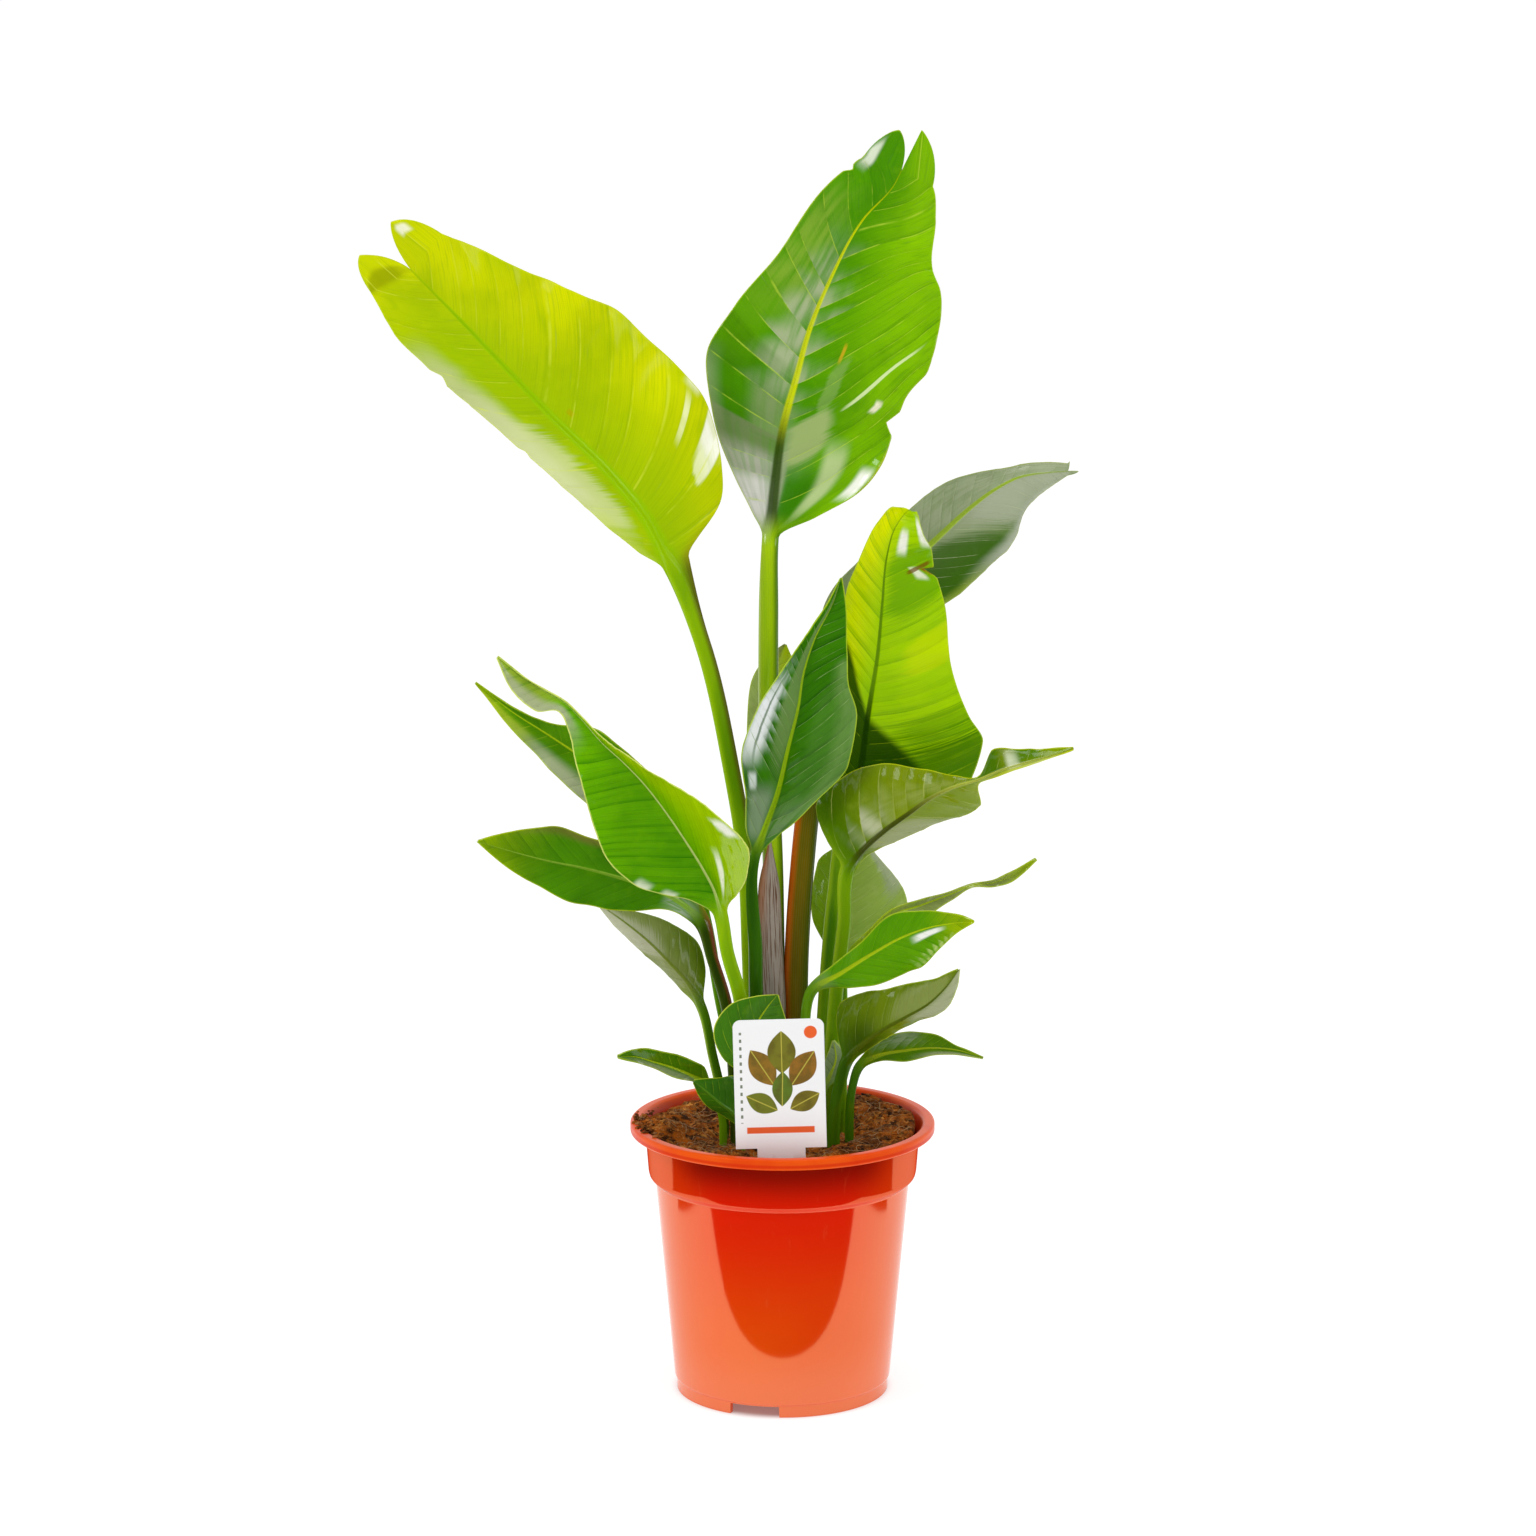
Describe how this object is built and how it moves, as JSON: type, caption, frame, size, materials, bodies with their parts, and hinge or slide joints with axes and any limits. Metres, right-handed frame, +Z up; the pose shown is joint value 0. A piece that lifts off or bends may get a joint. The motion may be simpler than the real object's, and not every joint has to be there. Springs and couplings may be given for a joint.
{
  "type": "potted bird of paradise",
  "caption": "Bird of paradise houseplant with broad split leaves on upright stalks, in a round plastic nursery pot with soil and a plain plant label.",
  "frame": {"origin": "middle of the pot's foot, on the floor", "axes": "+Z up along the pot's axis, -Y towards the front where the label stands, +X to the right as seen from the front"},
  "size_m": [0.5476, 0.24, 0.9916],
  "materials": {
    "pot_plastic": "glossy injection-moulded plastic, semi-matt rim",
    "potting_soil": "crumbly peat with bark and fibres",
    "label_card": "smooth white plastic card",
    "leaf": "waxy gloss, parallel side veins",
    "dry_sheath": "dry fibrous sheath"
  },
  "bodies": {
    "root": {"pot": "pot_plastic", "soil": "potting_soil", "plant_label": "label_card", "leaf_upper_left": "leaf", "leaf_top": "leaf", "leaf_back_right": "leaf", "leaf_right": "leaf", "leaf_centre": "leaf", "leaf_right_level": "leaf", "leaf_left_folded": "leaf", "leaf_left_behind": "leaf", "leaf_left_level": "leaf", "leaf_left_low": "leaf", "leaf_left_small": "leaf", "leaf_front_cup": "leaf", "leaf_front_round": "leaf", "leaf_right_pale": "leaf", "leaf_right_twisted": "leaf", "leaf_right_glossy": "leaf", "leaf_right_low": "leaf", "leaf_right_lowest": "leaf", "leaf_right_scrap": "leaf", "leaf_back_centre": "leaf", "dry_sheath": "dry_sheath"}
  },
  "joints": []
}
